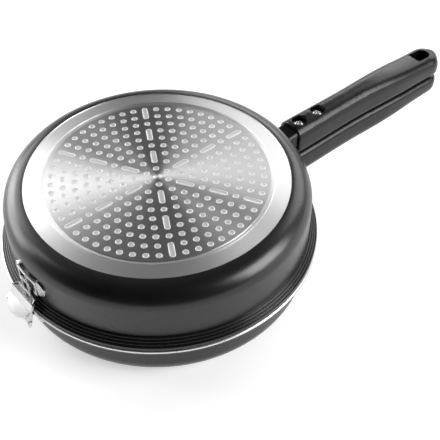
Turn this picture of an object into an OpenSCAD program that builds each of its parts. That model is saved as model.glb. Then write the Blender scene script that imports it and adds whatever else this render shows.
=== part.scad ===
// Double sided flip pan: a deep and a shallow pan, rim to rim, that swing on a clip hinge on the side
// away from their handles.
// The frame's origin is the centre of the lower base's resting face. +Z is up and +X runs along the handles.
// Both halves are drawn by the same modules, from the mating plane up to the base. The lower one is mirrored.

/* [Pans] */
// Outer radius of the straight wall
wall_r = 113.4; // [105:0.1:120]
// Height of the upper pan, from the mating plane to the face of its base
upper_h = 50; // [44:0.5:58]
// Height of the shallower lower pan, from the mating plane to the face of its base
lower_h = 38; // [37:0.5:44]
// Thickness of the wall and of the base
shell_t = 3.2; // [2.4:0.1:4]
// Radius of the shoulder between the wall and the base
shoulder_r = 16; // [12:0.5:20]
// Height of one of the steps of the rim
rim_step_h = 1.7; // [1.4:0.1:2]
// Width of one of the steps of the rim
rim_step_w = 1.5; // [1:0.1:1.6]
// Number of steps in the rim
rim_steps = 4; // [3:1:4]
// Height of the rim's plain edge, under its last step
rim_edge_h = 1.6; // [1.2:0.1:2]
// Radius of the rounding on each step
rim_round = 0.55; // [0.3:0.05:0.65]
// How far the lower rim stands out past the upper one
lower_rim_extra = 0.7; // [0.4:0.1:1]
// Height of the lip that drops into the other pan
lip_h = 1.4; // [0.8:0.1:1.8]
// Thickness of the lip
lip_t = 1.8; // [1.2:0.1:2]
// Clearance beside the lip, which the swing about the hinge needs
lip_gap = 1.0; // [0.8:0.1:1.2]

/* [Induction base] */
// Radius of the perforated steel plate
plate_r = 82.5; // [70:0.5:86]
// Thickness of the perforated plate
plate_t = 0.8; // [0.5:0.1:1.2]
// Width of the chamfer round the plate
plate_chamfer = 3.5; // [2:0.5:5]
// Number of rings of holes
hole_rings = 9; // [6:1:9]
// Margin of the plate outside the centres of the last ring of holes
hole_margin = 5.1; // [4.5:0.1:8]
// Diameter of a hole
hole_d = 4.8; // [3:0.1:5.4]
// Diameter of the centre hole
centre_d = 6.5; // [5:0.1:7]
// Bridge between the ends of two slots, or a slot and a hole, on one of the six spokes
slot_bridge = 3.2; // [2.6:0.1:5]
// Width of a slot
slot_w = 4.6; // [3:0.1:5]

/* [Handles] */
// Distance from the pan's wall to the front of the grip
neck_len = 21.6; // [19:0.1:26]
// Length of the grip
grip_len = 180.5; // [150:0.5:190]
// Half of the grip's width at its front
grip_w_front = 12; // [11:0.1:13]
// Half of the grip's width at its waist
grip_w_waist = 11.3; // [10.8:0.1:13]
// Half of the grip's width at its palm swell
grip_w_palm = 13.6; // [11.5:0.1:15]
// Half of the grip's width before its tip
grip_w_end = 14.2; // [12:0.1:15]
// Radius of the grip's tip, seen from above
tip_r = 13.2; // [11:0.1:14]
// How far the outer face comes down round the tip
tip_drop = 5; // [2:0.1:6]
// How far the flat face lifts round the tip
tip_rise = 2.5; // [0:0.1:3]
// Height of the grip's outer face over the mating plane
grip_top = 26; // [25:0.1:28]
// How much lower the grip's outer face is near the tip
grip_drop = 5.7; // [3:0.1:6.5]
// Radius of the grip's outer edges
grip_round = 10.2; // [8:0.1:10.4]
// Radius of the edges at the grip's flat inner face
flat_round = 5; // [3:0.1:5.4]
// Gap from the mating plane to the flat inner face of a grip
grip_gap = 1.0; // [0.5:0.1:2]
// Depth of the hollow moulded in the grip's flat face
core_depth = 4; // [2:0.5:6]
// Border of the flat face beside that hollow
core_border = 1.2; // [0.8:0.1:2]
// Radius of the hanging hole's round end, at the tip
hang_r = 6.5; // [5:0.1:7]
// Radius of its corners at the pan side
hang_corner = 2; // [1:0.1:4]
// Length of the hanging hole
hang_len = 18.5; // [16:0.5:20]
// Wall between the hanging hole and the tip of the grip
hang_wall = 10; // [8:0.5:11]

/* [Handle fixings] */
// Distance from the grip's front to the first screw
screw_x = 9.6; // [9:0.1:12]
// Distance between the two screws
screw_pitch = 21; // [18:0.5:24]
// Diameter of a screw's shank
screw_d = 5; // [4:0.1:5.5]
// Diameter of a screw's head
screw_head_d = 9.2; // [8:0.1:10]
// Height of a screw's head
screw_head_h = 2.4; // [2:0.1:3]
// Diameter of the counterbore in the grip
counterbore_d = 12.6; // [11.5:0.1:13]
// Depth of the screw head's top under the grip's face
screw_sink = 2.4; // [1:0.1:3]
// Width of the bracket's arm
arm_w = 14; // [12:0.5:15]
// Thickness of the bracket's arm
arm_t = 3; // [2.5:0.1:3.5]
// Height of the arm's underside over the mating plane
arm_h = 12.4; // [12:0.1:13]
// Length of the arm inside the grip
arm_in = 42; // [40:0.5:50]
// Half width of the bracket's pad on the wall
pad_w = 20; // [19.5:0.5:22]
// Height of the pad on the wall
pad_h = 15; // [14:0.5:17]
// Thickness of the pad
pad_t = 1.8; // [1.4:0.1:2.4]
// Half width of the ferrule between the pan and the grip
ferrule_w = 9.6; // [9.2:0.1:10]
// Wall of the ferrule
ferrule_t = 1.4; // [1:0.1:1.6]
// How far the ferrule's outer face lies under the grip's
ferrule_drop = 3.2; // [2:0.1:5]

/* [Rivets] */
// Diameter of a handle rivet's shank
rivet_d = 3.9; // [3.2:0.1:3.9]
// Diameter of a handle rivet's head
rivet_head_d = 8.4; // [7:0.1:9.6]
// Distance of a handle rivet from the handle's centre line
rivet_y = 14.4; // [14:0.1:15]
// Diameter of a hinge rivet's shank
hinge_rivet_d = 3.2; // [2.5:0.1:3.6]
// Diameter of a hinge rivet's head
hinge_head_d = 5.4; // [4.6:0.1:5.8]
// Height of a handle rivet's head
rivet_head_h = 1.8; // [1.4:0.1:2.2]
// Height of a hinge rivet's flat head
hinge_head_h = 0.6; // [0.4:0.1:1]

/* [Hinge] */
// Distance of the hinge pin's axis outside the wall
pin_out = 12.3; // [12:0.1:13]
// Depth of the hinge pin's axis under the mating plane
pin_down = 5; // [4.6:0.1:5.6]
// Diameter of the hinge pin
pin_d = 2; // [1.6:0.1:2.4]
// Width of the pin's peened end round its shank
pin_end_w = 0.5; // [0.3:0.1:0.8]
// Height of the pin's peened end
pin_end_h = 0.5; // [0.3:0.1:1]
// Running clearance between the pin and the clip, on the radius
pin_fit = 0.05; // [0.02:0.01:0.1]
// Half of the distance between the clip's cheeks, inside
cheek_y = 11.9; // [11.6:0.1:13]
// Thickness of the sheet steel of the clip and its catch
sheet_t = 1.2; // [0.8:0.1:1.4]
// Radius of the cheek round the pin
cheek_r = 1.9; // [1.8:0.1:2.4]
// Distance from the pin's axis down to the point of the cheek
cheek_point = 5.2; // [4.6:0.1:5.2]
// Radius of the cheek's point
cheek_point_r = 1; // [0.6:0.1:1.4]
// Half width of the clip's panel at its outer edge
panel_w = 13.5; // [13.2:0.1:15]
// Half width of the clip's panel at its inner edge
panel_w_in = 11; // [10:0.1:12]
// Height of the panel's underside over the mating plane
panel_h = 9.6; // [9.2:0.1:11]
// Length of the panel across the rim
panel_len = 5.4; // [5:0.1:6]
// Width of the panel's raised border
border_w = 1.4; // [0.8:0.1:1.6]
// Height of the panel's raised border
border_h = 0.6; // [0.3:0.1:0.8]
// Height over the mating plane of the fold between the clip's front and the thumb tongue
fold_h = 4.5; // [4:0.1:5.5]
// How far the thumb tongue stands out past the fold
tongue_reach = 8; // [6:0.1:9]
// Slope of the thumb tongue under the horizontal, in degrees
tongue_slope = 37; // [30:1:42]
// Half width of the strap that carries the pin under the rim
strap_w = 6; // [5:0.1:6.5]
// Half width of the strap's plate on the lower wall
foot_w = 9.6; // [9.4:0.1:11]
// Height of the strap's plate on the lower wall
foot_height = 11; // [10:0.1:13]
// Distance of a rivet of that plate from its middle
foot_rivet_y = 5.6; // [5.4:0.1:6]

/* [Catch] */
// Half length of the catch plate along the wall
catch_w = 18.6; // [18:0.1:20]
// Height of the catch plate
catch_height = 14; // [13:0.1:15]
// Height of the catch plate's centre over the mating plane
catch_h = 21.4; // [21:0.1:22]
// Room behind the raised middle of the catch plate
catch_lift = 1.4; // [1.2:0.1:2]
// Half length of the raised middle
catch_raised = 11.4; // [11.2:0.1:11.8]
// Width of a window in the catch plate
window_w = 7.4; // [6.4:0.1:7.6]
// Height of a window in the catch plate
window_h = 8.4; // [7:0.1:9]
// Width of the bridge between the two windows
bridge_w = 4; // [3:0.1:5]

/* [Hidden] */
$fn = 96;
eps = 0.05;
fit = 0.02;
seat = 0.3;
hole_pitch = (plate_r - hole_margin)/hole_rings;
slot_len = 2*hole_pitch - slot_bridge;
grip_x0 = wall_r + neck_len;
grip_x1 = grip_x0 + grip_len;
rim_r = wall_r + rim_steps*rim_step_w;
rim_top = rim_steps*rim_step_h + rim_edge_h;
pad_h0 = rim_top + 0.4;
base_r = wall_r - shoulder_r;
inner_r = wall_r - shell_t;
inner_corner_r = shoulder_r - plate_t - shell_t;
lip_r = inner_r + lip_t + 0.4;
catch_r = wall_r + catch_lift;
pin_x = wall_r + pin_out;
arm_x0 = wall_r + pad_t/2;
arm_x1 = grip_x0 + arm_in;
screw_xs = [grip_x0 + screw_x, grip_x0 + screw_x + screw_pitch];
screw_seat = grip_top - screw_sink - screw_head_h;
finger_h = catch_h - window_h/2 + seat;
riser_r = catch_r + sheet_t + seat;
hinge_rivet_y = (catch_raised + catch_w)/2;
foot_h = rim_top + seat + foot_height/2;
fold_x = pin_x - pin_d/2 - 1.1;
bore_reach = 4*cheek_y;
hang_x = grip_x1 - hang_wall - hang_r;
black = [0.09, 0.09, 0.10];
aluminium = [0.72, 0.72, 0.72];
steel = [0.80, 0.80, 0.79];
bakelite = [0.06, 0.06, 0.06];

// Places one half with its base up, or its mirror image with its base on the floor
module upper_half() { translate([0, 0, lower_h]) children(); }
module lower_half() { translate([0, 0, lower_h]) mirror([0, 0, 1]) children(); }

// Filled outline of a pan of height h: wall, shoulder and the stepped rim with rounded edges
module outer_profile(h, extra) {
    square([wall_r, h - shoulder_r]);
    square([base_r, h]);
    translate([base_r, h - shoulder_r]) circle(shoulder_r);
    for (i = [1:rim_steps]) {
        r = wall_r + i*rim_step_w + (i == rim_steps ? extra : 0);
        step_h = rim_edge_h + (rim_steps + 1 - i)*rim_step_h;
        square([r, step_h - rim_round]);
        square([r - rim_round, step_h]);
        translate([r - rim_round, step_h - rim_round]) circle(rim_round);
    }
}

// Hollow of a pan of height h, with a round corner between the wall and the base
module inner_profile(h) {
    r = inner_corner_r;
    inner_h = h - plate_t - shell_t;
    translate([0, -1]) square([inner_r, inner_h - r + 1]);
    square([inner_r - r, inner_h]);
    translate([inner_r - r, inner_h - r]) circle(r);
}

// Holes for a pair of rivets on the wall's normals, beside the direction dir and at the height h
module rivet_holes(dir, y, h, d) {
    for (s = [-1, 1]) rotate([0, 0, dir + s*asin(y/wall_r)]) translate([inner_r - 4, 0, h])
        rotate([0, 90, 0]) cylinder(d = d + 2*fit, h = 14, $fn = 32);
}

// One pan's shell. The recess of the perforated plate has a chamfered edge and a boss in its centre
module half_shell(h, extra, hinge_y, hinge_h) {
    difference() {
        rotate_extrude($fn = 180) difference() {
            outer_profile(h, extra);
            inner_profile(h);
            translate([centre_d/2 - fit, h - plate_t]) square([plate_r + 2*fit - centre_d/2, plate_t + 1]);
            translate([0, h]) polygon([[plate_r, -plate_t/2], [plate_r + plate_chamfer, 0],
                                       [plate_r + plate_chamfer, 1], [plate_r, 1]]);
        }
        rivet_holes(0, rivet_y, pad_h0 + pad_h/2, rivet_d);
        rivet_holes(180, hinge_y, hinge_h, hinge_rivet_d);
    }
}

// Rebate in the lower rim, wider than the lip that it takes
module rim_rebate() {
    translate([0, 0, -1]) cylinder(r = lip_r + lip_gap, h = lip_h + 0.5 + 1, $fn = 180);
}

// Lip under the upper rim
module rim_lip() {
    translate([0, 0, -lip_h]) difference() {
        cylinder(r = lip_r, h = lip_h + 1, $fn = 180);
        translate([0, 0, -1]) cylinder(r = lip_r - lip_t, h = lip_h + 3, $fn = 180);
    }
}

// Perforated steel plate: rings of six times k holes, with three slots on each of six spokes
module half_induction_plate(h) {
    translate([0, 0, h - plate_t]) linear_extrude(plate_t) difference() {
        circle(plate_r, $fn = 180);
        circle(d = centre_d, $fn = 32);
        for (k = [1:hole_rings], i = [0:6*k - 1])
            if (i % k != 0 || k % 3 == 1) rotate(i*60/k) translate([k*hole_pitch, 0])
                circle(d = hole_d, $fn = 24);
        for (spoke = [0:5], k = [2:3:hole_rings])
            rotate(spoke*60) translate([(k + 0.5)*hole_pitch, 0]) slot_2d(slot_len, slot_w);
    }
}

// Round-ended slot, centred
module slot_2d(len, w) {
    square([len - w, w], center = true);
    for (s = [-1, 1]) translate([s*(len - w)/2, 0]) circle(d = w, $fn = 24);
}

// A rivet through the wall along +X, up to the outer face x1 of what it holds. Its inner head is flat
module rivet(d, head_d, head_h, x1) {
    head_r = head_d/2;
    dome_r = (pow(head_r, 2) + pow(head_h, 2))/(2*head_h);
    x0 = sqrt(pow(inner_r, 2) - pow(head_r, 2)) - fit;
    rotate([0, 90, 0]) {
        translate([0, 0, x0]) cylinder(d = d, h = x1 - x0);
        translate([0, 0, x0 - rivet_head_h/2]) cylinder(r = head_r, h = rivet_head_h/2);
        intersection() {
            translate([0, 0, x1]) cylinder(r = head_r, h = head_h);
            translate([0, 0, x1 + head_h - dome_r]) sphere(dome_r);
        }
    }
}

// Two rivets side by side through the wall and the bracket's pad
module half_bracket_rivets() {
    for (s = [-1, 1]) rotate([0, 0, s*asin(rivet_y/wall_r)]) translate([0, 0, pad_h0 + pad_h/2])
        rivet(rivet_d, rivet_head_d, rivet_head_h, wall_r + pad_t);
}

// Curved piece of sheet on the wall, from radius r0 to r1, cut out by a flat shape in the YZ plane
module wall_sheet(r0, r1) {
    intersection() {
        difference() {
            cylinder(r = r1, h = upper_h, $fn = 180);
            translate([0, 0, -1]) cylinder(r = r0, h = upper_h + 2, $fn = 180);
        }
        rotate([90, 0, 90]) linear_extrude(2*wall_r) children();
    }
}

// Steel bracket: a pad on the wall, a channelled neck and a flat arm with two threaded holes
module half_handle_bracket() {
    difference() {
        union() {
            wall_sheet(wall_r, wall_r + pad_t) translate([0, pad_h0 + pad_h/2])
                round_box_2d(2*pad_w, pad_h, pad_h/3);
            translate([arm_x0, -arm_w/2, arm_h]) cube([arm_x1 - arm_x0 - arm_w/2, arm_w, arm_t]);
            translate([arm_x1 - arm_w/2, 0, arm_h]) cylinder(d = arm_w, h = arm_t);
            for (s = [-1, 1]) translate([arm_x0, s*(arm_w - arm_t/2)/2 - arm_t/4, pad_h0 + seat])
                cube([grip_x0 - 2 - arm_x0, arm_t/2, arm_h - pad_h0]);
        }
        rivet_holes(0, rivet_y, pad_h0 + pad_h/2, rivet_d);
        for (x = screw_xs) translate([x, 0, arm_h - 1]) cylinder(d = screw_d + 2*fit, h = arm_t + 2);
    }
}

// Rectangle with four round corners, centred
module round_box_2d(w, h, r) {
    square([w - 2*r, h], center = true);
    square([w, h - 2*r], center = true);
    for (sx = [-1, 1], sy = [-1, 1]) translate([sx*(w/2 - r), sy*(h/2 - r)]) circle(r, $fn = 32);
}

// One cross section of the ferrule, a thin slab across X
module ferrule_slab(x, w, h0, h1, r) {
    translate([x, 0, (h0 + h1)/2]) rotate([90, 0, 90]) linear_extrude(eps) round_box_2d(2*w, h1 - h0, r);
}

// Dark ferrule between the pan and the grip. It grows towards the grip and follows the rim's curve
module half_handle_ferrule() {
    x1 = grip_x0 - seat - eps;
    h0 = grip_gap + 2.4;
    h1 = grip_top - ferrule_drop;
    t = ferrule_t;
    difference() {
        hull() {
            ferrule_slab(wall_r, ferrule_w - 0.8, h0, h1 - 3.4, 3.6);
            ferrule_slab(x1, ferrule_w, h0, h1, 4.6);
        }
        hull() {
            ferrule_slab(wall_r - 1, ferrule_w - 0.8 - t, h0 + t, h1 - 3.4 - t, 2.4);
            ferrule_slab(x1 + 1, ferrule_w - t, h0 + t, h1 - t, 3.2);
        }
        cylinder(r = wall_r + pad_t + seat, h = upper_h, $fn = 180);
        cylinder(r = rim_r + lower_rim_extra + 1, h = rim_top + 0.6, $fn = 180);
    }
}

// Smooth passage from a to b while t goes from 0 to 1
function ease(a, b, t) = a + (b - a)*(1 - cos(180*min(max(t, 0), 1)))/2;

// Half width and top height of the grip at the share u of its length
function grip_w(u) = u < 0.35 ? ease(grip_w_front, grip_w_waist, u/0.35)
                   : u < 0.76 ? ease(grip_w_waist, grip_w_palm, (u - 0.35)/0.41)
                   : ease(grip_w_palm, grip_w_end, (u - 0.76)/0.24);
function grip_h(u) = grip_top - ease(0, grip_drop, (u - 0.45)/0.55);

// A section of the grip as points [x, y, h], from h0 to h1: its outer edges are rounder than its inner ones
function grip_section(x, w, h0, h1, r0, r1) = [
    for (a = [-90:15:0]) [x, w - r0 + r0*cos(a), h0 + r0 + r0*sin(a)],
    for (a = [0:11.25:90]) [x, w - r1 + r1*cos(a), h1 - r1 + r1*sin(a)],
    for (a = [90:11.25:180]) [x, -w + r1 + r1*cos(a), h1 - r1 + r1*sin(a)],
    for (a = [180:15:270]) [x, -w + r0 + r0*cos(a), h0 + r0 + r0*sin(a)]
];

// Sections of the whole grip: a rounded front edge, the waist and palm swell, and a round tip
front_r = 1.4;
front_steps = [for (a = [0:30:90]) [front_r*(1 - cos(a)), front_r*(1 - sin(a))]];
body_steps = [for (i = [1:15]) front_r + (grip_len - tip_r - front_r)*i/15];
tip_steps = [for (a = [10:10:80]) a];
grip_sections = [
    for (s = front_steps) grip_section(grip_x0 + s[0], grip_w_front - s[1], grip_gap + s[1],
                                       grip_top - s[1], flat_round, grip_round - s[1]/2),
    for (s = body_steps) let (u = s/grip_len)
        grip_section(grip_x0 + s, grip_w(u), grip_gap, grip_h(u), flat_round, grip_round),
    for (a = tip_steps)
        let (x = tip_r*(1 - sin(a)), w = grip_w(1 - x/grip_len)*cos(a), c = 1 - cos(a))
            grip_section(grip_x1 - x, w, grip_gap + tip_rise*c, grip_h(1) - tip_drop*c,
                         min(flat_round, w/2), min(grip_round, w - 0.2))
];

// Skin over a list of sections that have as many points each
module loft(sections) {
    n = len(sections[0]);
    m = len(sections);
    points = [for (s = sections, p = s) p];
    sides = [for (j = [0:m - 2], i = [0:n - 1]) let (k = (i + 1) % n)
        each [[j*n + i, (j + 1)*n + i, j*n + k], [j*n + k, (j + 1)*n + i, (j + 1)*n + k]]];
    front = [[for (i = [0:n - 1]) i]];
    back = [[for (i = [n - 1:-1:0]) (m - 1)*n + i]];
    polyhedron(points, concat(front, sides, back), convexity = 6);
}

// Hanging hole: half a circle at the tip side, and a straight edge with round corners at the pan side
module hang_hole_2d(r, corner, len) {
    x = r + corner - len;
    round_end = [for (a = [-90:7.5:90]) r*[cos(a), sin(a)]];
    corner_1 = [for (a = [90:15:180]) [x, r - corner] + corner*[cos(a), sin(a)]];
    corner_2 = [for (a = [180:15:270]) [x, corner - r] + corner*[cos(a), sin(a)]];
    polygon(concat(round_end, corner_1, corner_2));
}

// Moulded grip: pocket for the arm, two counterbored screw holes, hanging hole and hollow underside
module half_handle_grip() {
    core_x0 = arm_x1 + 8;
    core_x1 = hang_x - hang_len + 2;
    core_w = grip_w_waist - flat_round - core_border;
    difference() {
        loft(grip_sections);
        translate([grip_x0 - 1, -arm_w/2 - seat, arm_h - seat])
            cube([arm_in + 1 + seat, arm_w + 2*seat, arm_t + 2*seat]);
        for (x = screw_xs) translate([x, 0, 0]) {
            translate([0, 0, screw_seat]) cylinder(d = counterbore_d, h = upper_h);
            translate([0, 0, arm_h - 3.4]) cylinder(d = screw_d + 0.6, h = upper_h);
        }
        translate([hang_x, 0, -1]) linear_extrude(upper_h) hang_hole_2d(hang_r, hang_corner, hang_len);
        translate([(core_x0 + core_x1)/2, 0, -1]) linear_extrude(grip_gap + core_depth + 1)
            round_box_2d(core_x1 - core_x0, 2*core_w, 0.9*core_w);
    }
}

// Two pan-head screws with cross recesses, sunk in the grip
module half_handle_screws() {
    dome_r = (pow(screw_head_d/2, 2) + pow(screw_head_h, 2))/(2*screw_head_h);
    for (x = screw_xs) translate([x, 0, screw_seat]) difference() {
        union() {
            intersection() {
                cylinder(d = screw_head_d, h = screw_head_h);
                translate([0, 0, screw_head_h - dome_r*1.25]) sphere(dome_r*1.25);
            }
            translate([0, 0, arm_h - 1.2 - screw_seat])
                cylinder(d = screw_d, h = screw_seat - arm_h + 1.2 + eps);
        }
        for (a = [30, 120]) rotate(a) translate([-2.4, -0.55, screw_head_h - 1.5]) cube([4.8, 1.1, 3]);
    }
}

// Point where the line from p touches the circle round c with radius r, on the side of sign s
function tangent(p, c, r, s) = let (
    d = norm(c - p),
    a = atan2(c[1] - p[1], c[0] - p[0]) + s*asin(r/d),
    l = sqrt(d*d - r*r)) p + l*[cos(a), sin(a)];

// Extrudes a flat shape, drawn as distance from the axis and height, from y0 to y1
module across(y0, y1) {
    translate([0, y1, 0]) rotate([90, 0, 0]) linear_extrude(y1 - y0) children();
}

// Folded sheet seen from its edge: segments of thickness t with round bends
module sheet_path_2d(points, t) {
    for (i = [0:len(points) - 2]) {
        d = points[i + 1] - points[i];
        translate(points[i]) rotate(atan2(d[1], d[0])) translate([0, -t/2]) square([norm(d), t]);
        translate(points[i + 1]) circle(d = t, $fn = 24);
    }
}

// Flat shape of the catch plate
module catch_plate_2d() {
    translate([0, catch_h]) round_box_2d(2*catch_w, catch_height, catch_height/2 - eps);
}

// Two rivets of a hinge plate, at the distance y from the middle and at the height h
module half_hinge_rivets(y, h) {
    rotate([0, 0, 180]) for (s = [-1, 1]) rotate([0, 0, s*asin(y/wall_r)])
        translate([0, 0, h]) rivet(hinge_rivet_d, hinge_head_d, hinge_head_h, wall_r + sheet_t);
}

// Lower bracket: a riveted plate with a strap that runs out under the rim and is rolled round the pin
module half_hinge_bracket() {
    roll_r = pin_d/2 + fit + sheet_t/2;
    wall_x = wall_r + sheet_t/2;
    bend_h = foot_h - foot_height/2 + sheet_t/2;
    difference() {
        rotate([0, 0, 180]) {
            wall_sheet(wall_r, wall_r + sheet_t) translate([0, foot_h])
                round_box_2d(2*foot_w, foot_height, foot_height/3);
            across(-strap_w, strap_w) {
                sheet_path_2d([[wall_x, bend_h + sheet_t], [wall_x, bend_h],
                               [pin_x, pin_down + roll_r]], sheet_t);
                translate([pin_x, pin_down]) circle(roll_r + sheet_t/2, $fn = 48);
            }
        }
        rivet_holes(180, foot_rivet_y, foot_h, hinge_rivet_d);
        translate([-pin_x, 0, pin_down]) rotate([90, 0, 0])
            cylinder(d = pin_d + 2*fit, h = bore_reach, center = true);
    }
}

// Catch on the upper wall: its middle stands off the wall and has two windows beside a bridge
module half_catch_plate() {
    difference() {
        rotate([0, 0, 180]) {
            wall_sheet(wall_r, wall_r + sheet_t) difference() {
                catch_plate_2d();
                translate([0, catch_h]) square([2*catch_raised - 2*sheet_t, upper_h], center = true);
            }
            wall_sheet(catch_r, catch_r + sheet_t) intersection() {
                catch_plate_2d();
                translate([0, catch_h]) square([2*catch_raised, upper_h], center = true);
            }
            wall_sheet(wall_r, catch_r + sheet_t) intersection() {
                catch_plate_2d();
                for (s = [-1, 1]) translate([s*(catch_raised - sheet_t/2), catch_h])
                    square([sheet_t, upper_h], center = true);
            }
        }
        rivet_holes(180, hinge_rivet_y, catch_h, hinge_rivet_d);
        for (s = [-1, 1]) translate([-wall_r, s*(bridge_w + window_w)/2, catch_h])
            cube([30, window_w, window_h], center = true);
    }
}

// Clip drawn along +X at the heights over the mating plane: a panel over the rim, a front that slopes
// down to the thumb tongue, an arch with two fingers in the catch, and a cheek at each side
module clip_sheet() {
    clip_front();
    clip_panel();
    clip_riser();
    for (y0 = [cheek_y, -cheek_y - sheet_t]) clip_cheek(y0);
}

// Sloping front between the cheeks, folded out into the tongue, which is half an ellipse
module clip_front() {
    bend = [riser_r + panel_len - sheet_t/2, panel_h + sheet_t/2];
    fold = [fold_x, fold_h];
    tip = fold + tongue_reach*[1, -tan(tongue_slope)];
    w = cheek_y + sheet_t;
    intersection() {
        across(-w, w) sheet_path_2d([bend, fold, tip], sheet_t);
        translate([0, 0, -upper_h]) linear_extrude(2*upper_h) {
            translate([wall_r, -w]) square([fold_x - wall_r, 2*w]);
            translate([fold_x, 0]) scale([tongue_reach, w]) circle(1);
        }
    }
}

// Panel over the rim with a raised border all round
module clip_panel() {
    translate([0, 0, panel_h]) difference() {
        linear_extrude(sheet_t + border_h) panel_2d(0);
        translate([0, 0, sheet_t]) linear_extrude(sheet_t) panel_2d(border_w);
    }
}

// Plan of the panel, a trapezoid, drawn in by d on every side
module panel_2d(d) {
    x0 = riser_r + d;
    x1 = riser_r + panel_len - d;
    polygon([[x0, panel_w_in - d], [x1, panel_w - d], [x1, -panel_w + d], [x0, -panel_w_in + d]]);
}

// Arch in front of the catch with a finger through each window
module clip_riser() {
    leg = 3;
    arch_w = bridge_w/2 + 0.6 + leg;
    arch_top = catch_h + 1.6;
    finger_x0 = wall_r + seat + 0.2;
    difference() {
        translate([riser_r, -arch_w, panel_h + 0.3]) cube([sheet_t, 2*arch_w, arch_top - panel_h - 0.3]);
        translate([riser_r - 1, leg - arch_w, panel_h + 3])
            cube([sheet_t + 2, 2*(arch_w - leg), arch_top - panel_h - 5.4]);
    }
    for (s = [-1, 1]) translate([finger_x0, s*(arch_w - leg/2) - leg/2 + 0.2, finger_h])
        cube([riser_r + sheet_t/2 - finger_x0, leg - 0.4, sheet_t]);
}

// Side cheek from y0: it hangs from the panel and narrows past the bore on the pin to a point
module clip_cheek(y0) {
    point = [pin_x + seat, cheek_point_r - pin_down - cheek_point];
    inner = [rim_r + lower_rim_extra + 2.2, rim_step_h];
    outer = [fold_x + 0.6*tongue_reach, fold_h - 0.6*tongue_reach*tan(tongue_slope)];
    top = panel_h + sheet_t/2;
    difference() {
        across(y0, y0 + sheet_t) {
            translate([pin_x, -pin_down]) circle(cheek_r, $fn = 48);
            translate(point) circle(cheek_point_r, $fn = 32);
            polygon([[riser_r + panel_len/2, top], [riser_r + panel_len/2, rim_top + 0.5], inner + [0, 2.6],
                     inner, tangent(inner, point, cheek_point_r, -1), point,
                     tangent(outer, point, cheek_point_r, 1), outer, [fold_x, fold_h],
                     [riser_r + panel_len - sheet_t/2, top]]);
        }
        translate([pin_x, 0, -pin_down]) rotate([90, 0, 0])
            cylinder(d = pin_d + 2*pin_fit, h = bore_reach, center = true);
    }
}

module hinge_clip() { color(steel) upper_half() rotate([0, 0, 180]) clip_sheet(); }

// Pin with a low peened end outside each cheek
module hinge_pin() {
    half_len = cheek_y + sheet_t + seat;
    head_r = pin_d/2 + pin_end_w;
    dome_r = (pow(head_r, 2) + pow(pin_end_h, 2))/(2*pin_end_h);
    color(steel) translate([-pin_x, 0, lower_h - pin_down]) rotate([90, 0, 0]) {
        cylinder(d = pin_d, h = 2*half_len, center = true);
        for (s = [0, 1]) mirror([0, 0, s]) intersection() {
            translate([0, 0, half_len]) cylinder(r = head_r, h = pin_end_h);
            translate([0, 0, half_len + pin_end_h - dome_r]) sphere(dome_r);
        }
    }
}

module lower_pan_shell() {
    color(black) lower_half() difference() {
        half_shell(lower_h, lower_rim_extra, foot_rivet_y, foot_h);
        rim_rebate();
    }
}
module lower_induction_plate() { color(aluminium) lower_half() half_induction_plate(lower_h); }
module lower_handle_bracket() { color(steel) lower_half() half_handle_bracket(); }
module lower_bracket_rivets() { color(aluminium) lower_half() half_bracket_rivets(); }
module lower_handle_ferrule() { color(bakelite) lower_half() half_handle_ferrule(); }
module lower_handle_grip() { color(bakelite) lower_half() half_handle_grip(); }
module lower_handle_screws() { color(steel) lower_half() half_handle_screws(); }
module lower_hinge_bracket() { color(steel) lower_half() half_hinge_bracket(); }
module lower_hinge_rivets() { color(aluminium) lower_half() half_hinge_rivets(foot_rivet_y, foot_h); }
module upper_pan_shell() {
    color(black) upper_half() {
        half_shell(upper_h, 0, hinge_rivet_y, catch_h);
        rim_lip();
    }
}
module upper_induction_plate() { color(aluminium) upper_half() half_induction_plate(upper_h); }
module upper_handle_bracket() { color(steel) upper_half() half_handle_bracket(); }
module upper_bracket_rivets() { color(aluminium) upper_half() half_bracket_rivets(); }
module upper_handle_ferrule() { color(bakelite) upper_half() half_handle_ferrule(); }
module upper_handle_grip() { color(bakelite) upper_half() half_handle_grip(); }
module upper_handle_screws() { color(steel) upper_half() half_handle_screws(); }
module upper_catch_plate() { color(steel) upper_half() half_catch_plate(); }
module upper_catch_rivets() { color(aluminium) upper_half() half_hinge_rivets(hinge_rivet_y, catch_h); }

lower_pan_shell();
lower_induction_plate();
lower_handle_bracket();
lower_bracket_rivets();
lower_handle_ferrule();
lower_handle_grip();
lower_handle_screws();
lower_hinge_bracket();
lower_hinge_rivets();
hinge_pin();
hinge_clip();
upper_pan_shell();
upper_induction_plate();
upper_handle_bracket();
upper_bracket_rivets();
upper_handle_ferrule();
upper_handle_grip();
upper_handle_screws();
upper_catch_plate();
upper_catch_rivets();
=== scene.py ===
"""Looks of the double sided flip pan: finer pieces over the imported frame, materials, studio and camera."""

import math

import bmesh
import bpy
from mathutils import Matrix, Vector


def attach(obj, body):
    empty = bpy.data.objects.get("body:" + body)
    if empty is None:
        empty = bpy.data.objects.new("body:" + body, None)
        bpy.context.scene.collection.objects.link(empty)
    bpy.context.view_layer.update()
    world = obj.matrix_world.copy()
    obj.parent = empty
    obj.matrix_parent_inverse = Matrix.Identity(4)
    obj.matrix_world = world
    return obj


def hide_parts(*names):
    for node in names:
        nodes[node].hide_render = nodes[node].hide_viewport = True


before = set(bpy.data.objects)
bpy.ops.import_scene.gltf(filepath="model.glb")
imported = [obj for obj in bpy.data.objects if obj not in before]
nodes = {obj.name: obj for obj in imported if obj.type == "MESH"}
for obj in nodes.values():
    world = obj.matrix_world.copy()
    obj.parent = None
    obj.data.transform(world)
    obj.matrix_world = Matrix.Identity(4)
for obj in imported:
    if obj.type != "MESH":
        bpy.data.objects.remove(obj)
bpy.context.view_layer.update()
scene = bpy.context.scene

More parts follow.
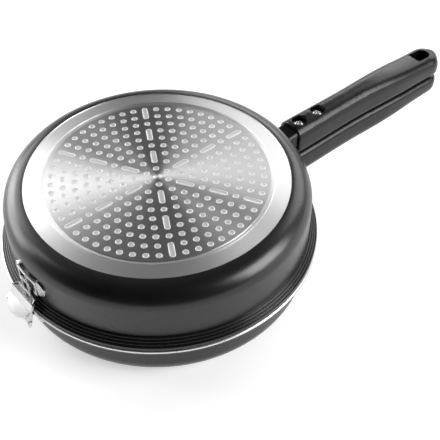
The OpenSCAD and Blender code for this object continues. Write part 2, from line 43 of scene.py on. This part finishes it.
# Sizes in millimetres, heights over the mating plane. The upper half has side 1, the lower one side -1
MM = 0.001
MATE = 38.0
DEPTH = {1: 50.0, -1: 38.0}
WALL, INNER_R, SHOULDER = 113.4, 110.2, 16.0
BASE_T, CORNER = 4.0, 12.0
RIM_STEPS, STEP_W, STEP_H, EDGE_H, STEP_ROUND, STEP_GROOVE = 4, 1.5, 1.7, 1.6, 0.55, 0.12
LOWER_RIM_EXTRA = 0.7
HOLE_RINGS, HOLE_PITCH, HOLE_D = 9, 8.6, 4.8
SLOT_RINGS, SLOT_LEN, SLOT_W = (2, 5, 8), 14, 4.6
STUD_GAP = 0.04
STUD_PROFILE = [(1.0, -0.3), (0.95, -0.08), (0.86, -0.02), (0.7, -0.03), (0.55, -0.1), (0.0, -0.14)]
GRIP_X0, GRIP_LEN, GRIP_TOP, GRIP_FLAT = 135.0, 180.5, 26.0, 1.0
GRIP_X1 = GRIP_X0 + GRIP_LEN
GRIP_EASE, FLAT_ROUND, TOP_ROUND = 1.4, 5.0, 10.2
TIP_R, TIP_DROP, TIP_RISE = 13.2, 5.0, 2.5
HANG_R, HANG_CORNER, HANG_LEN, HANG_WALL = 6.5, 2.0, 18.5, 10
SCREW_X, COUNTERBORE_R, COUNTERBORE_H, SHANK_R, SHANK_H = (9.6, 30.6), 6.3, 21.2, 2.8, 9.0
CORE_X0, CORE_TIP_GAP, CORE_W, CORE_R, CORE_TOP = 185.0, 16.5, 5.1, 4.6, 5.0
POCKET_LEN, POCKET_W, POCKET_H0, POCKET_H1 = 42.3, 7.3, 12.1, 15.7
OUT, BARE, IN = 0, 1, 2


# ---------------------------------------------------------------- materials
def add(tree, kind, inputs=None, **settings):
    """A shader node with its settings, and its inputs set to values or linked to other nodes' outputs."""
    made = tree.nodes.new(kind)
    for key, value in settings.items():
        setattr(made, key, value)
    for key, value in (inputs or {}).items():
        if isinstance(value, bpy.types.NodeSocket):
            tree.links.new(value, made.inputs[key])
        else:
            made.inputs[key].default_value = value
    return made


def math_node(tree, operation, *values):
    return add(tree, "ShaderNodeMath", dict(enumerate(values)), operation=operation).outputs[0]


def principled(name, color, rough, **sockets):
    """A new material with its Principled shader: (material, tree, shader)."""
    mat = bpy.data.materials.new(name)
    mat.use_nodes = True
    tree = mat.node_tree
    shader = tree.nodes["Principled BSDF"]
    shader.inputs["Base Color"].default_value = (*color, 1)
    shader.inputs["Roughness"].default_value = rough
    for key, value in sockets.items():
        shader.inputs[key.replace("_", " ")].default_value = value
    return mat, tree, shader


def grey(v):
    return (v, v, v)


def coating(name, value, rough, bump):
    """Sprayed heat-proof coating: even colour with a fine orange-peel bump."""
    mat, tree, shader = principled(name, grey(value), rough)
    place = add(tree, "ShaderNodeTexCoord").outputs["Object"]
    peel = add(tree, "ShaderNodeTexNoise", {"Vector": place, "Scale": 900.0, "Detail": 2.0}).outputs["Fac"]
    wave = add(tree, "ShaderNodeTexNoise", {"Vector": place, "Scale": 45.0, "Detail": 3.0}).outputs["Fac"]
    tone = add(tree, "ShaderNodeMapRange", {"Value": wave, "To Min": 0.85 * value, "To Max": 1.15 * value})
    tree.links.new(tone.outputs[0], shader.inputs["Base Color"])
    gloss = add(tree, "ShaderNodeMapRange", {"Value": wave, "To Min": rough - 0.03, "To Max": rough + 0.03})
    tree.links.new(gloss.outputs[0], shader.inputs["Roughness"])
    tree.links.new(
        add(tree, "ShaderNodeBump", {"Height": peel, "Strength": bump, "Distance": 0.0002}).outputs[0],
        shader.inputs["Normal"],
    )
    return mat


def turned(name, value, rough, grooves, drawn_out):
    """Metal turned on a lathe: fine circular grooves, gloss drawn out across them."""
    mat, tree, shader = principled(
        name, grey(value), rough, Metallic=1.0, Anisotropic=drawn_out, Anisotropic_Rotation=0.25
    )
    place = add(tree, "ShaderNodeTexCoord").outputs["Object"]
    flat = add(tree, "ShaderNodeVectorMath", {0: place, 1: (1, 1, 0)}, operation="MULTIPLY").outputs[0]
    radius = add(tree, "ShaderNodeVectorMath", {0: flat}, operation="LENGTH").outputs["Value"]
    ring = math_node(tree, "MULTIPLY", radius, 1600.0)
    inputs = {"W": ring, "Scale": 1.0, "Detail": 4.0}
    line = add(tree, "ShaderNodeTexNoise", inputs, noise_dimensions="1D").outputs["Fac"]
    tone = add(tree, "ShaderNodeMapRange", {"Value": line, "To Min": value - 0.06, "To Max": value + 0.06})
    tree.links.new(tone.outputs[0], shader.inputs["Base Color"])
    tree.links.new(
        add(tree, "ShaderNodeBump", {"Height": line, "Strength": grooves, "Distance": 0.0001}).outputs[0],
        shader.inputs["Normal"],
    )
    tangent = add(tree, "ShaderNodeTangent", direction_type="RADIAL", axis="Z").outputs[0]
    tree.links.new(tangent, shader.inputs["Tangent"])
    return mat


def bakelite(name):
    """Satin phenolic moulding, slightly uneven where it was polished by hand."""
    mat, tree, shader = principled(name, grey(0.005), 0.27)
    shader.inputs["Specular IOR Level"].default_value = 0.3
    place = add(tree, "ShaderNodeTexCoord").outputs["Object"]
    fine = add(tree, "ShaderNodeTexNoise", {"Vector": place, "Scale": 1400.0, "Detail": 2.0}).outputs["Fac"]
    broad = add(tree, "ShaderNodeTexNoise", {"Vector": place, "Scale": 90.0, "Detail": 2.0}).outputs["Fac"]
    height = math_node(tree, "MULTIPLY_ADD", broad, 6.0, fine)
    tree.links.new(
        add(tree, "ShaderNodeBump", {"Height": height, "Strength": 0.25, "Distance": 0.0002}).outputs[0],
        shader.inputs["Normal"],
    )
    return mat


def stainless(name):
    """Bright sheet steel with eased edges and a faint rolled grain."""
    mat, tree, shader = principled(name, grey(0.68), 0.2, Metallic=1.0)
    edge = add(tree, "ShaderNodeBevel", {"Radius": 0.0004}, samples=4).outputs[0]
    place = add(tree, "ShaderNodeTexCoord").outputs["Object"]
    grain = add(tree, "ShaderNodeTexNoise", {"Vector": place, "Scale": 300.0, "Detail": 3.0}).outputs["Fac"]
    inputs = {"Height": grain, "Strength": 0.05, "Distance": 0.0001, "Normal": edge}
    tree.links.new(add(tree, "ShaderNodeBump", inputs).outputs[0], shader.inputs["Normal"])
    return mat


black_coat = coating("black_coat", 0.008, 0.28, 0.25)
inner_coat = coating("inner_coat", 0.045, 0.45, 0.4)
bare_ring = turned("turned_aluminium", 0.88, 0.42, 0.1, 0.75)
plate_metal = turned("turned_plate", 0.6, 0.38, 0.3, 0.85)
# Painted shade: the studs' low middles get a darker copy of the stud metal (0.7 against 0.92 at the rim)
stud_metal = turned("turned_studs", 0.92, 0.45, 0.1, 0.2)
stud_middle_painted_shade = turned("turned_stud_middle", 0.7, 0.4, 0.2, 0.4)
for mat in (stud_metal, stud_middle_painted_shade):
    mat.node_tree.nodes["Principled BSDF"].inputs["Metallic"].default_value = 0.6
dark_bakelite = bakelite("bakelite")
bright_steel = stainless("stainless")
rivet_metal = coating("rivet_aluminium", 0.5, 0.42, 0.3)
rivet_metal.node_tree.nodes["Principled BSDF"].inputs["Metallic"].default_value = 1.0

for name, obj in nodes.items():
    if "pan_shell" in name:
        mat = black_coat
    elif "induction" in name:
        mat = plate_metal
    elif "grip" in name or "ferrule" in name:
        mat = dark_bakelite
    elif "rivets" in name:
        mat = rivet_metal
    else:
        mat = bright_steel
    for slot in obj.material_slots:
        slot.material = mat


# ---------------------------------------------------------------- pieces
def finish_piece(name, bm, materials, body, sharp=30):
    """Makes an object of a bmesh, smooth up to an angle, and lets it ride on a body."""
    mesh = bpy.data.meshes.new(name)
    bmesh.ops.recalc_face_normals(bm, faces=bm.faces)
    bm.to_mesh(mesh)
    bm.free()
    mesh.polygons.foreach_set("use_smooth", [True] * len(mesh.polygons))
    mesh.set_sharp_from_angle(angle=math.radians(sharp))
    for mat in materials:
        mesh.materials.append(mat)
    obj = bpy.data.objects.new(name, mesh)
    scene.collection.objects.link(obj)
    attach(obj, body)
    return obj


def placed(side, h):
    """Height in the row frame of a height over the mating plane, for the upper (1) or lower (-1) half."""
    return (MATE + side * h) * MM


def arc(cx, cy, r, a0, a1, steps):
    """Points on an arc from the angle a0 to a1, in degrees."""
    turns = [math.radians(a0 + (a1 - a0) * i / steps) for i in range(steps + 1)]
    return [(cx + r * math.cos(t), cy + r * math.sin(t)) for t in turns]


def lathe(name, outline, side, materials, body, segments=240):
    """Turns a list of (radius, height, material of the face to the next point) round Z."""
    bm = bmesh.new()
    rings = []
    for r, h, _ in outline:
        if r < 1e-6:
            rings.append([bm.verts.new((0, 0, placed(side, h)))] * segments)
        else:
            turn = [2 * math.pi * i / segments for i in range(segments)]
            z = placed(side, h)
            rings.append([bm.verts.new((r * MM * math.cos(t), r * MM * math.sin(t), z)) for t in turn])
    for j in range(len(rings) - 1):
        low_ring, high_ring = rings[j], rings[j + 1]
        for i in range(segments):
            k = (i + 1) % segments
            corners = [low_ring[i], low_ring[k], high_ring[k], high_ring[i]]
            unique = list(dict.fromkeys(corners))
            if len(unique) > 2:
                bm.faces.new(unique).material_index = outline[j][2]
    return finish_piece(name, bm, materials, body)


def shell_outline(side):
    """Cross section of a half pan from the middle of its base, outside first."""
    rim, d = (LOWER_RIM_EXTRA if side < 0 else 0.0), DEPTH[side]
    # Boss, recess of the perforated plate, chamfer with a fine groove, and the bare ring
    base = [(0, 0), (3.0, 0), (3.23, -0.2), (3.23, -0.8), (82.54, -0.8), (82.5, -0.45)]
    base += [(82.8, -0.36), (85.2, -0.05), (85.5, -0.22), (85.8, -0.22), (86.1, 0), (97.4, -0.35)]
    pts = [(r, d + h, BARE) for r, h in base]
    shoulder = arc(WALL - SHOULDER, d - SHOULDER, SHOULDER, 90, 0, 40)
    pts += [(x, y, OUT) for x, y in shoulder]
    for i in range(1, RIM_STEPS + 1):
        r = WALL + STEP_W * i + (rim if i == RIM_STEPS else 0)
        h = EDGE_H + (RIM_STEPS + 1 - i) * STEP_H
        inner = WALL + STEP_W * (i - 1)
        pts.append((inner, h + STEP_GROOVE, OUT))
        pts.append((inner + STEP_GROOVE, h, OUT))
        pts += [(x, y, OUT) for x, y in arc(r - STEP_ROUND, h - STEP_ROUND, STEP_ROUND, 90, 0, 6)]
    edge = WALL + STEP_W * RIM_STEPS + rim
    if side < 0:
        # The bare edge of the rim, and the rebate that takes the lip
        pts += [(edge, 1.75, BARE), (edge, 0.35, BARE), (edge - 0.35, 0, BARE)]
        pts += [(WALL, 0, IN), (WALL, 1.9, IN), (INNER_R + 0.3, 1.9, IN), (INNER_R, 2.2, IN)]
    else:
        # The coated edge of the rim, and the lip
        pts += [(edge, 0.3, OUT), (edge - 0.3, 0, OUT), (112.4, 0, IN), (112.4, -1.2, IN), (112.2, -1.4, IN)]
        pts += [(110.8, -1.4, IN), (110.6, -1.2, IN), (110.6, 0, IN), (INNER_R, 0, IN)]
    pts += [(x, y, IN) for x, y in arc(INNER_R - CORNER, d - BASE_T - CORNER, CORNER, 0, 90, 24)]
    pts.append((0, d - BASE_T, IN))
    return pts


def stud_field(name, side, body):
    """Aluminium studs that fill the holes of the perforated plate, each with a low middle that is painted
    darker than its rim as painted shade.
    """
    bm = bmesh.new()

    def add_stud(away, angle, length, width):
        segs, half, r = 24, (length - width) / 2, width / 2 - STUD_GAP
        cx, cy = away * math.cos(angle), away * math.sin(angle)
        # A round stud isn't turned along its ray
        c, s = (math.cos(angle), math.sin(angle)) if half else (1.0, 0.0)
        rings = []
        for share, depth in STUD_PROFILE:
            z = placed(side, DEPTH[side] + depth)
            ring = []
            for i in range(segs):
                t = 2 * math.pi * i / segs
                shift = half if math.cos(t) > 1e-6 else -half if math.cos(t) < -1e-6 else 0
                x, y = r * share * math.cos(t) + shift, r * share * math.sin(t)
                ring.append(bm.verts.new(((cx + c * x - s * y) * MM, (cy + s * x + c * y) * MM, z)))
            rings.append(ring)
        for k, (a, b) in enumerate(zip(rings, rings[1:])):
            for i in range(segs):
                j = (i + 1) % segs
                # The middle rings take the darker copy of the metal: painted shade in the stud's low middle
                bm.faces.new((a[i], a[j], b[j], b[i])).material_index = int(k > 2)

    for k in range(1, HOLE_RINGS + 1):
        for i in range(6 * k):
            if i % k or k % 3 == 1:
                add_stud(k * HOLE_PITCH, math.radians(60 * i / k), HOLE_D, HOLE_D)
    for spoke in range(6):
        for k in SLOT_RINGS:
            add_stud((k + 0.5) * HOLE_PITCH, math.radians(60 * spoke), SLOT_LEN, SLOT_W)
    bmesh.ops.remove_doubles(bm, verts=bm.verts, dist=1e-6)
    return finish_piece(name, bm, [stud_metal, stud_middle_painted_shade], body, 60)


for side, word in ((1, "upper"), (-1, "lower")):
    body = word + "_pan"
    skin_materials = [black_coat, bare_ring, inner_coat]
    pan = lathe(word + "_pan_skin", shell_outline(side), side, skin_materials, body)
    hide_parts(word + "_pan_shell")
    stud_field(word + "_base_studs", side, body)


def ease(a, b, t):
    """From a to b with a soft start and end, as t runs from 0 to 1."""
    return a + (b - a) * (1 - math.cos(math.pi * min(max(t, 0), 1))) / 2


def grip_width(u):
    """Half the grip's width at the share u of its length: a waist, then the palm."""
    if u < 0.35:
        return ease(12.0, 11.3, u / 0.35)
    return ease(11.3, 13.6, (u - 0.35) / 0.41) if u < 0.76 else ease(13.6, 14.2, (u - 0.76) / 0.24)


def grip_height(u):
    """Height of the grip's outer face at the share u of its length."""
    return GRIP_TOP - ease(0, 5.7, (u - 0.45) / 0.55)


def grip_section(x, w, h0, h1, r0, r1):
    """Points (x, y, h) round a section of the grip, rounder at its outer face than at its flat one."""
    pts = []
    for a in range(-90, 1, 9):
        pts.append((x, w - r0 + r0 * math.cos(math.radians(a)), h0 + r0 + r0 * math.sin(math.radians(a))))
    for a in range(0, 91, 6):
        pts.append((x, w - r1 + r1 * math.cos(math.radians(a)), h1 - r1 + r1 * math.sin(math.radians(a))))
    half = [(x, -y, h) for x, y, h in reversed(pts)]
    return pts + half


def loft(bm, sections, side):
    """Closed skin over a row of sections with the same number of points."""
    rings = [[bm.verts.new((x * MM, y * MM, placed(side, h))) for x, y, h in s] for s in sections]
    n = len(rings[0])
    for a, b in zip(rings, rings[1:]):
        for i in range(n):
            bm.faces.new((a[i], a[(i + 1) % n], b[(i + 1) % n], b[i]))
    bm.faces.new(rings[0])
    bm.faces.new(rings[-1])


def prism(bm, outline, h0, h1, side):
    """Closed prism over a flat outline, from the height h0 to h1."""
    low = [bm.verts.new((x * MM, y * MM, placed(side, h0))) for x, y in outline]
    high = [bm.verts.new((x * MM, y * MM, placed(side, h1))) for x, y in outline]
    n = len(outline)
    for i in range(n):
        bm.faces.new((low[i], low[(i + 1) % n], high[(i + 1) % n], high[i]))
    bm.faces.new(low)
    bm.faces.new(high)


def grip(name, side, body, node):
    """Moulded grip with its hanging hole, counterbores and hollow underside, all edges rounded."""
    sections = []
    # Eased front edge
    for i in range(9):
        a = math.radians(90 * i / 8)
        s, t = GRIP_EASE * (1 - math.cos(a)), GRIP_EASE * (1 - math.sin(a))
        w, top = grip_width(0) - t, GRIP_TOP - t
        sections.append(grip_section(GRIP_X0 + s, w, GRIP_FLAT + t, top, FLAT_ROUND, TOP_ROUND - t / 2))
    # Length of the grip
    for i in range(1, 71):
        s = GRIP_EASE + (GRIP_LEN - TIP_R - GRIP_EASE) * i / 70
        u = s / GRIP_LEN
        sections.append(
            grip_section(GRIP_X0 + s, grip_width(u), GRIP_FLAT, grip_height(u), FLAT_ROUND, TOP_ROUND)
        )
    # Round tip
    for i in range(1, 25):
        a = math.radians(84 * i / 24)
        x, c = TIP_R * (1 - math.sin(a)), 1 - math.cos(a)
        w = grip_width(1 - x / GRIP_LEN) * math.cos(a)
        flat, top = GRIP_FLAT + TIP_RISE * c, grip_height(1) - TIP_DROP * c
        r0, r1 = min(FLAT_ROUND, w / 2), min(TOP_ROUND, w - 0.2)
        sections.append(grip_section(GRIP_X1 - x, w, flat, top, r0, r1))
    bm = bmesh.new()
    loft(bm, sections, side)
    obj = finish_piece(name, bm, [dark_bakelite], body, 35)
    cutters = bmesh.new()
    low_end, high_end = -2, 40
    # Hanging hole: round at the tip's side, square with round corners at the other
    hang_x, r, corner = GRIP_X1 - HANG_WALL - HANG_R, HANG_R, HANG_CORNER
    left = hang_x + r + corner - HANG_LEN
    hole = arc(hang_x, 0, r, -90, 90, 32) + arc(left, r - corner, corner, 90, 180, 8)
    hole += arc(left, corner - r, corner, 180, 270, 8)
    prism(cutters, hole, low_end, high_end, side)
    # Counterbores and bores of the two screws
    for x in SCREW_X:
        prism(cutters, arc(GRIP_X0 + x, 0, COUNTERBORE_R, 0, 352.5, 47), COUNTERBORE_H, high_end, side)
        prism(cutters, arc(GRIP_X0 + x, 0, SHANK_R, 0, 345, 23), SHANK_H, high_end, side)
    # Hollow under the grip
    x0, x1, w, r = CORE_X0, hang_x - CORE_TIP_GAP, CORE_W, CORE_R
    core = arc(x1 - r, w - r, r, 0, 90, 8) + arc(x0 + r, w - r, r, 90, 180, 8)
    core += arc(x0 + r, r - w, r, 180, 270, 8) + arc(x1 - r, r - w, r, 270, 360, 8)
    prism(cutters, core, low_end, CORE_TOP, side)
    # Pocket of the handle's arm
    x0, x1, w = GRIP_X0 - 1, GRIP_X0 + POCKET_LEN, POCKET_W
    prism(cutters, [(x0, -w), (x1, -w), (x1, w), (x0, w)], POCKET_H0, POCKET_H1, side)
    bmesh.ops.recalc_face_normals(cutters, faces=cutters.faces)
    tool_mesh = bpy.data.meshes.new(name + "_tool")
    cutters.to_mesh(tool_mesh)
    cutters.free()
    tool = bpy.data.objects.new(name + "_tool", tool_mesh)
    scene.collection.objects.link(tool)
    cut = obj.modifiers.new("cut", "BOOLEAN")
    cut.operation, cut.object, cut.solver, cut.use_self = "DIFFERENCE", tool, "EXACT", True
    edge = obj.modifiers.new("edge", "BEVEL")
    edge.width, edge.segments, edge.limit_method, edge.angle_limit = 0.0005, 3, "ANGLE", math.radians(50)
    made = bpy.data.meshes.new_from_object(obj.evaluated_get(bpy.context.evaluated_depsgraph_get()))
    obj.modifiers.clear()
    obj.data = made
    made.polygons.foreach_set("use_smooth", [True] * len(made.polygons))
    made.set_sharp_from_angle(angle=math.radians(35))
    bpy.data.objects.remove(tool)
    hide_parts(node)


for side, word in ((1, "upper"), (-1, "lower")):
    grip(word + "_moulded_grip", side, word + "_pan", word + "_handle_grip")


# ---------------------------------------------------------------- studio
def emission_floor():
    """White paper: lit by the lamps, and lifted to white where the camera or a glossy face sees it."""
    mat, tree, shader = principled("paper", grey(0.7), 0.9)
    shader.inputs["Specular IOR Level"].default_value = 0.0
    seen = add(tree, "ShaderNodeLightPath")
    flag = math_node(tree, "MAXIMUM", seen.outputs["Is Camera Ray"], seen.outputs["Is Glossy Ray"])
    flag = math_node(tree, "MAXIMUM", flag, seen.outputs["Is Transmission Ray"])
    shader.inputs["Emission Color"].default_value = (1, 1, 1, 1)
    tree.links.new(math_node(tree, "MULTIPLY", flag, 0.52), shader.inputs["Emission Strength"])
    return mat


# The camera's ground axes: right and forward, as seen in the photograph
RIGHT = Vector((0.7625, -0.6470, 0))
AHEAD = Vector((0.6470, 0.7625, 0))

# The floor ends just behind the camera
mesh = bpy.data.meshes.new("floor")
bm = bmesh.new()
corners = [(-4.0, -0.55), (4.0, -0.55), (4.0, 6.0), (-4.0, 6.0)]
bm.faces.new([bm.verts.new(RIGHT * x + AHEAD * y) for x, y in corners])
bm.to_mesh(mesh)
bm.free()
floor = bpy.data.objects.new("floor", mesh)
scene.collection.objects.link(floor)
floor.data.materials.append(emission_floor())


def softbox(name, right, ahead, up, size, power):
    """A rectangular lamp at a place given in the camera's ground axes, turned to the pan."""
    data = bpy.data.lights.new(name, "AREA")
    data.shape = "RECTANGLE"
    data.size, data.size_y = size
    data.energy = power
    lamp = bpy.data.objects.new(name, data)
    scene.collection.objects.link(lamp)
    lamp.location = RIGHT * right + AHEAD * ahead + Vector((0, 0, up))
    lamp.rotation_euler = (Vector((0, 0, 0.05)) - lamp.location).to_track_quat("-Z", "Y").to_euler()


softbox("left_back_box", -1.1, 1.15, 0.95, (1.0, 1.0), 12)
softbox("right_back_box", 1.1, 1.15, 0.95, (1.0, 1.0), 11)
softbox("back_box", 0.4, 1.8, 0.75, (0.8, 0.5), 6)
softbox("left_box", -1.25, 0.15, 1.05, (0.4, 0.4), 2.0)
softbox("low_left_box", -1.25, 0.6, 0.4, (1.2, 0.75), 18)
softbox("right_box", 1.5, -0.4, 0.8, (0.95, 1.05), 32)

world = bpy.data.worlds.new("studio")
scene.world = world
world.use_nodes = True
wt = world.node_tree
back = wt.nodes["Background"]
back.inputs["Strength"].default_value = 1.0
direction = add(wt, "ShaderNodeTexCoord").outputs["Generated"]
height = add(wt, "ShaderNodeSeparateXYZ", {0: direction}).outputs["Z"]
along = {0: direction, 1: tuple(AHEAD)}
ahead = add(wt, "ShaderNodeVectorMath", along, operation="DOT_PRODUCT").outputs["Value"]


def fade(value, start, end, at_start, at_end):
    """A value mapped from one span to another and held at its ends."""
    inputs = {"Value": value, "From Min": start, "From Max": end, "To Min": at_start, "To Max": at_end}
    return add(wt, "ShaderNodeMapRange", inputs).outputs[0]


# Light low over the horizon, mostly on the far side. The camera sees plain white
sky = math_node(wt, "MULTIPLY", fade(height, 0.0, 0.5, 0.8, 0.07), fade(ahead, -0.5, 0.3, 0.1, 1.0))
seen = add(wt, "ShaderNodeLightPath").outputs["Is Camera Ray"]
wt.links.new(math_node(wt, "MAXIMUM", sky, seen), back.inputs["Color"])

# ---------------------------------------------------------------- camera
cam = bpy.data.objects.new("camera", bpy.data.cameras.new("camera"))
scene.collection.objects.link(cam)
cam.data.sensor_width = 36
cam.data.lens = 72.4834
right = Vector((0.76245213, -0.64704318, 0.00136836))
up = Vector((0.46396381, 0.54818967, 0.69586325))
behind = Vector((-0.4510037, -0.52992755, 0.718173))
cam.matrix_world = Matrix((right, up, behind)).transposed().to_4x4()
cam.location = Vector((-0.27064818, -0.38816990, 0.52854151))
cam.data.clip_start, cam.data.clip_end = 0.01, 20
scene.camera = cam
scene.view_settings.view_transform = "Standard"
